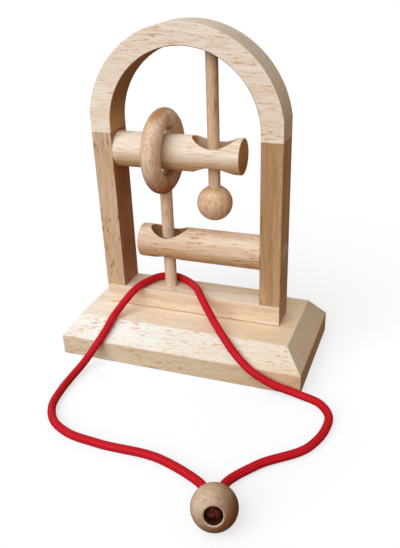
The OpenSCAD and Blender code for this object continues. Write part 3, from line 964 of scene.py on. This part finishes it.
def braided_tube(name, line, radius, pick, around=48):
    """A tube with the braid's relief in its mesh and its coordinates in a UV map."""
    across, up = frames_along(line)
    angle = np.arange(around) / around
    u, v = np.meshgrid(run_along(line) / pick, STRANDS * angle, indexing="ij")
    height, first = braid_height(u, v)
    reach = radius[:, None] * (1 + RELIEF * (height - 1))
    turn = 2 * math.pi * angle[None]
    ring = (line[:, None, :] + (reach * np.cos(turn))[..., None] * across[:, None, :]
            + (reach * np.sin(turn))[..., None] * up[:, None, :])
    last = (len(line) - 1) * around
    ends = [list(range(around))[::-1], list(range(last, last + around))]
    piece = piece_of(name, ring, ring_faces(len(line), around) + ends)
    mesh = piece.data
    braid = mesh.attributes.new("braid", "FLOAT_COLOR", "POINT")
    values = np.stack([height, 1.0 * first, 0 * height, 0 * height + 1], axis=-1)
    braid.data.foreach_set("color", values.reshape(-1).astype(np.float32))
    layer = mesh.uv_layers.new(name="along_and_around")
    quad_u = np.stack([u[:-1], u[:-1], u[1:], u[1:]], axis=-1).reshape(-1, 4) * pick
    v_next = v + STRANDS / around
    quad_v = np.stack([v[:-1], v_next[:-1], v_next[1:], v[1:]], axis=-1).reshape(-1, 4) * STRAND_W
    flat = np.stack([quad_u, quad_v], axis=-1).reshape(-1)
    flat = np.concatenate([flat, np.zeros(4 * around)])
    layer.data.foreach_set("uv", flat.astype(np.float32))
    mesh.update()
    only(piece)
    bpy.ops.object.shade_smooth()
    return piece


def cord_material(name, lit, shaded):
    """Braided yarn, from its shaded colour between the strands to its lit one on them: painted shade and
    painted light.
    """
    material, tree = new_material(name)
    braid = add(tree, "Attribute", attribute_name="braid")
    parts = add(tree, "SeparateColor", {"Color": braid.outputs["Color"]})
    place = add(tree, "UVMap", uv_map="along_and_around")
    # Fine filaments that follow the strand on top
    way = between(tree, parts.outputs["Green"], 0.4, 0.6, -0.8, 0.8)
    turned = add(tree, "VectorRotate", {"Vector": place.outputs[0], "Axis": (0, 0, 1), "Angle": way})
    thin = add(tree, "Mapping", {"Vector": turned.outputs[0], "Scale": (0.9, 7.0, 1)})
    filament = add(tree, "TexNoise", {
        "Vector": thin.outputs[0], "Scale": 1.0, "Detail": 2.0, "Roughness": 0.6,
    }).outputs["Fac"]
    wide = add(tree, "TexNoise", {"Vector": place.outputs[0], "Scale": 0.12, "Detail": 2.0})
    # The braid's height picks the colour: painted light on the strands and painted shade between them
    tone = between(tree, parts.outputs["Red"], 0.25, 0.95)
    streak = between(tree, filament, 0.3, 0.7, 0.75, 1.1)
    worn = between(tree, wide.outputs["Fac"], 0.3, 0.7, 0.9, 1.05)
    share = times(tree, times(tree, tone, streak), worn)
    colour = blended(tree, share, shaded, lit)
    relief = add(tree, "Bump", {"Height": filament, "Strength": 0.2, "Distance": 0.15 * MM})
    shader = add(tree, "BsdfPrincipled", {
        "Base Color": colour, "Roughness": 0.6, "Normal": relief.outputs["Normal"],
        "Specular IOR Level": 0.15,
    })
    add(tree, "OutputMaterial", {"Surface": shader.outputs[0]})
    return {"faces": material, "edges": material, "slot": "cord_red"}


def make_cord(looks, knot):
    """The cord along its whole route, which is also what it says about itself."""
    line = smooth_line(CORD_ROUTE, CORD_STEP)
    cord = braided_tube("braided_cord", line, cord_radius(line), CORD_PICK)
    finish_piece(cord, looks, "loop", "cord_loop")


def make_knot(looks):
    """The two cord ends, knotted together in the bead's front bore."""
    # A trefoil that just fills the bore
    t = np.linspace(0, 2 * math.pi, 240)
    out = (0.62 + 0.38 * np.cos(3 * t)) * (KNOT_R - KNOT_CORD_R)
    high = np.sin(3 * t) * (KNOT_L / 2 - KNOT_CORD_R)
    # The line stops short of where it began, so that the tube has two ends
    line = np.stack([out * np.cos(2 * t), out * np.sin(2 * t), high], axis=1)[:-4]
    line = spaced(line, CORD_STEP)
    thick = np.full(len(line), KNOT_CORD_R)
    knot = braided_tube("cord_ends_knot", line, thick, KNOT_PICK, around=32)
    middle = Vector(bead_point(KNOT_FROM + KNOT_L / 2, 0))
    knot.data.transform(Matrix.Translation(middle * MM) @ bore_turn())
    finish_piece(knot, looks, "loop", "cord_knot")
    return knot


def screw_steel():
    """Zinc-plated steel with faint brushing."""
    material, tree = new_material("zinc_plated_steel")
    place = add(tree, "TexCoord")
    at = in_millimetres(tree, place.outputs["Object"])
    cloud = stretched_noise(tree, at, (0.5, 0.5, 0.5), 3.0, 0.6, 5.0)
    brush = stretched_noise(tree, at, (3.0, 3.0, 0.3), 2.0, 0.5, 9.0)
    dull, bright = rgb(176, 178, 178), rgb(206, 204, 196)
    shader = add(tree, "BsdfPrincipled", {
        "Base Color": blended(tree, between(tree, cloud, 0.35, 0.65), dull, bright),
        "Roughness": between(tree, brush, 0.3, 0.7, 0.28, 0.42),
        "Metallic": 1.0,
    })
    add(tree, "OutputMaterial", {"Surface": shader.outputs[0]})
    return material


def finish_node(node, material):
    """A CAD node that stays as it is gets a better material."""
    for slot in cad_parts[node].material_slots:
        slot.material = material


# Finishes
SHADED_END = rgb(172, 130, 90)

# The base: darker towards its right end, and darker in its screw holes: painted shade. Its top and its
# front and back tints are painted light and shade.
base_wood = wood(
    "base_block_wood", "base_wood", "X", 31, slant=0.14, inside_shade=(0.6, 0.5, 0.4, 1),
    wear_and_highlight=0.2, light_fade=((1, 0, 0), -60, 65, (0.88, 0.79, 0.68, 1)),
    pale=rgb(239, 245, 242), tan=rgb(232, 206, 170), fleck=rgb(209, 164, 106), end_grain=rgb(206, 178, 144),
    flat_tint=(1.07, 0.97, 0.86, 1), side_tint=(0.91, 0.79, 0.65, 1), tan_share=0.5, line_share=0.3,
    fleck_share=0.75, fleck_amount=0.75, fleck_length=1.05, fleck_width=0.9, flat_flecks=0.35, fibre=0.25,
)
# The rail: its top tint is painted light, and its darker lower edges are painted shade in the seam
rail_wood = wood(
    "rail_wood", "base_wood", "X", 87, inside_shade=(0.42, 0.30, 0.22, 1),
    pale=rgb(236, 218, 194), tan=rgb(217, 180, 138), fleck=rgb(205, 150, 98), end_grain=SHADED_END,
    flat_tint=(0.95, 1.02, 1.10, 1), tan_share=0.6, line_share=0.4,
    fleck_share=0.6, fleck_amount=0.45, fleck_length=1.4, fibre=0.45,
)
# The left upright: its inner and outer sides darker and browner, and its edges at the opening darker too:
# painted shade
left_wood = wood(
    "left_upright_wood", "upright_wood", "Z", 163, inside_shade=(0.60, 0.38, 0.31, 1),
    pale=rgb(228, 207, 178), tan=rgb(198, 157, 114), fleck=rgb(152, 102, 58), end_grain=SHADED_END,
    flat_tint=(0.64, 0.40, 0.33, 1), tan_share=0.7, line_share=0.5,
    fleck_share=0.8, fleck_amount=0.6, fleck_length=1.15, fleck_width=1.15, flat_flecks=0.6, fibre=0.6,
)
# The right upright: its inner and outer sides lighter: painted light
right_wood = wood(
    "right_upright_wood", "upright_wood", "Z", 233,
    pale=rgb(201, 163, 123), tan=rgb(173, 132, 91), fleck=rgb(134, 92, 56), end_grain=SHADED_END,
    flat_tint=(1.10, 1.12, 1.12, 1), tan_share=1.0, line_share=0.5,
    fleck_share=0.55, fleck_amount=0.45, fleck_length=1.6, fibre=0.7,
)
# The arch: lighter towards the left, painted light; darker on its upward faces and in its opening, painted
# shade, which lifts low down near the joints
arch_wood = wood(
    "arch_board_wood", "arch_wood", "X", 301, inside_shade=(0.51, 0.33, 0.23, 1),
    light_fade=((-1, 0, 0), 0, 60, (1.06, 1.07, 1.07, 1)),
    inside_fade=((0, 0, -1), -20 - JOINT_Z, -2 - JOINT_Z, (1.65, 1.75, 1.55, 1)),
    flat_tint=(0.75, 0.74, 0.73, 1), flat_from=0.3, flat_to=0.7,
    pale=rgb(246, 238, 222), tan=rgb(227, 196, 156), fleck=rgb(210, 156, 106), end_grain=rgb(219, 201, 176),
    tan_share=0.4, line_share=0.5,
    fleck_share=0.85, fleck_amount=0.55, fleck_length=1.3, fleck_width=0.95, flat_flecks=0.6, fibre=0.4,
)
# The upper bar: darker on its underside and in its oval hole: painted shade
upper_wood = wood(
    "upper_bar_wood", "bar_wood", "X", 377, inside_shade=(0.80, 0.66, 0.55, 1),
    light_fade=((0, 0, -1), -1.5 - UPPER_Z, 5 - UPPER_Z, (0.85, 0.68, 0.46, 1)),
    pale=rgb(243, 237, 222), tan=rgb(222, 188, 147), fleck=rgb(198, 146, 96), end_grain=rgb(208, 162, 112),
    tan_share=0.5, line_share=0.5, fleck_share=0.6, fleck_amount=0.4, fleck_length=2.0, fibre=0.4,
)
# The lower bar: darker on its underside and in its oval hole: painted shade
lower_wood = wood(
    "lower_bar_wood", "bar_wood", "X", 451, inside_shade=(0.55, 0.40, 0.30, 1),
    light_fade=((0, 0, -1), -1.5 - LOWER_Z, 2 - LOWER_Z, (0.88, 0.75, 0.56, 1)),
    pale=rgb(229, 213, 192), tan=rgb(208, 162, 112), fleck=rgb(177, 122, 70), end_grain=rgb(204, 190, 170),
    tan_share=0.65, line_share=0.5,
    fleck_share=0.85, fleck_amount=0.7, fleck_length=1.4, fleck_width=1.05, fibre=0.5,
)
rod_wood = wood(
    "rod_stock_wood", "rod_wood", "Z", 512,
    pale=rgb(236, 213, 186), tan=rgb(213, 171, 126), fleck=rgb(158, 107, 64), end_grain=SHADED_END,
    tan_share=0.8, line_share=0.6, fleck_share=0.65, fleck_amount=0.45, fleck_length=2.0, fibre=0.8,
)
# The ring: darker and browner towards its bottom: painted shade
ring_wood = wood(
    "turned_ring_wood", "turned_wood", "Z", 598, light_fade=((0, 0, -1), -118, -97, (0.53, 0.20, 0.05, 1)),
    pale=rgb(240, 224, 202), tan=rgb(209, 164, 114), fleck=rgb(174, 118, 70), end_grain=rgb(176, 124, 74),
    tan_share=0.85, line_share=0.7, fleck_share=0.5, fleck_amount=0.4, fleck_length=2.0, fibre=0.7,
)
ball_wood = wood(
    "turned_ball_wood", "turned_wood", "Z", 644,
    pale=rgb(238, 214, 188), tan=rgb(211, 167, 120), fleck=rgb(174, 124, 80), end_grain=rgb(196, 152, 108),
    tan_share=0.8, line_share=0.7,
    fleck_share=0.7, fleck_amount=0.6, fleck_length=2.4, fleck_width=0.8, fibre=0.8,
)
# The bead: darker towards its lower right and in its bore: painted shade. The rims of its mouths stay out
# of that shade.
bead_wood = wood(
    "bead_stock_wood", "bead_wood", "X", 655, inside_shade=(0.30, 0.19, 0.14, 1),
    light_fade=((0.81, -0.02, -0.58), 34, 51.5, (0.38, 0.24, 0.16, 1)),
    bright_edges=True,
    pale=rgb(216, 202, 181), tan=rgb(192, 147, 102), fleck=rgb(186, 122, 66), end_grain=rgb(188, 150, 110),
    tan_share=0.9, line_share=0.15,
    fleck_share=0.5, fleck_amount=1.0, fleck_length=0.5, fleck_width=2.2, fibre=0.35,
)
dowel_wood = wood(
    "dowel_stock_wood", "dowel_wood", "Z", 720,
    pale=rgb(219, 192, 153), tan=rgb(206, 170, 128), fleck=rgb(180, 130, 84), end_grain=SHADED_END,
    tan_share=0.6, line_share=0.3, fleck_share=0.3, fibre=0.5,
)
cord_red = cord_material("braided_red_cord", rgb(227, 25, 42), rgb(132, 8, 18))
# The knot's cord is dark red-brown: painted shade of the bore it sits in
shaded_knot_red = cord_material("shaded_knot_cord", rgb(106, 38, 28), rgb(48, 15, 11))

place_camera()
make_bead(bead_wood)
make_cord(cord_red, make_knot(shaded_knot_red))
make_base(base_wood)
make_rail(rail_wood)
make_upright(-1, UPPER_Z, "left_post", "left_upright", left_wood)
make_upright(1, LOWER_Z, "right_post", "right_upright", right_wood)
make_arch(arch_wood)
make_crossbar("upper_bar", "upper_crossbar", -1, UPPER_HOLE, upper_wood)
make_crossbar("lower_bar", "lower_crossbar", 1, LOWER_HOLE, lower_wood)
make_rod("hanging_dowel", "hanging_rod", rod_wood)
make_rod("standing_dowel", "standing_rod", rod_wood)
make_ball(ball_wood)
make_ring(ring_wood)
finish_node("arch_dowels", dowel_wood["faces"])
finish_node("base_screws", screw_steel())
lay_floor()
light_the_stage()
bpy.context.scene.view_settings.view_transform = "Standard"
